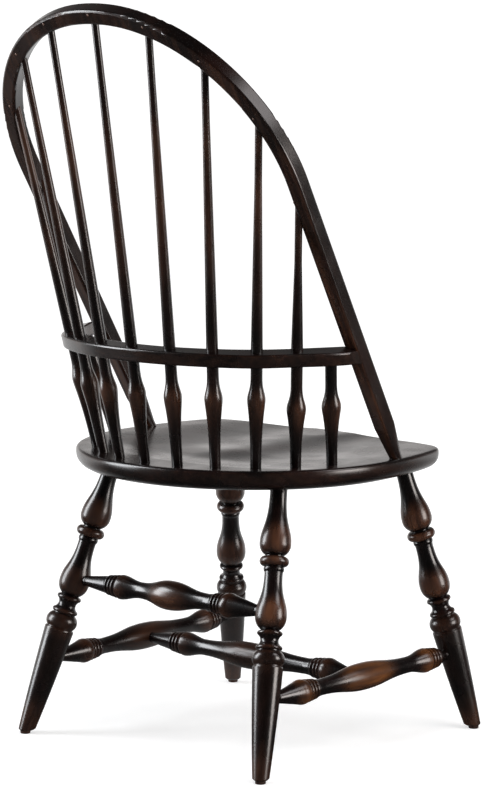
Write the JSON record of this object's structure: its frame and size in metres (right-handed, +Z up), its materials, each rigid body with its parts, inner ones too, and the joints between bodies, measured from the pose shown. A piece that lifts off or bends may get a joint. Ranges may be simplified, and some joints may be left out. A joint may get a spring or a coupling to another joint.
{
  "type": "windsor chair",
  "caption": "Bow-back side chair with a dished plank seat, turned splayed legs joined by turned stretchers, and a bent hoop back with a bent mid rail and turned spindles.",
  "frame": {"origin": "on the floor, under the middle of the chair's bounding box", "axes": "+Z up, the sitter faces -Y, +X to the sitter's left"},
  "size_m": [0.5756, 0.614, 1.1455],
  "materials": {
    "lacquered_wood": "satin",
    "glide": "matte"
  },
  "bodies": {
    "root": {"bow": "lacquered_wood", "cross_stretcher": "lacquered_wood", "glide_front_left": "glide", "glide_front_right": "glide", "glide_rear_left": "glide", "glide_rear_right": "glide", "leg_front_left": "lacquered_wood", "leg_front_right": "lacquered_wood", "leg_rear_left": "lacquered_wood", "leg_rear_right": "lacquered_wood", "mid_rail": "lacquered_wood", "rail_dowels": "lacquered_wood", "rear_stretcher": "lacquered_wood", "seat": "lacquered_wood", "short_spindle_left": "lacquered_wood", "short_spindle_right": "lacquered_wood", "side_stretcher_left": "lacquered_wood", "side_stretcher_right": "lacquered_wood", "spindle_centre": "lacquered_wood", "spindle_left_1": "lacquered_wood", "spindle_left_2": "lacquered_wood", "spindle_left_3": "lacquered_wood", "spindle_left_4": "lacquered_wood", "spindle_right_1": "lacquered_wood", "spindle_right_2": "lacquered_wood", "spindle_right_3": "lacquered_wood", "spindle_right_4": "lacquered_wood"}
  },
  "joints": []
}
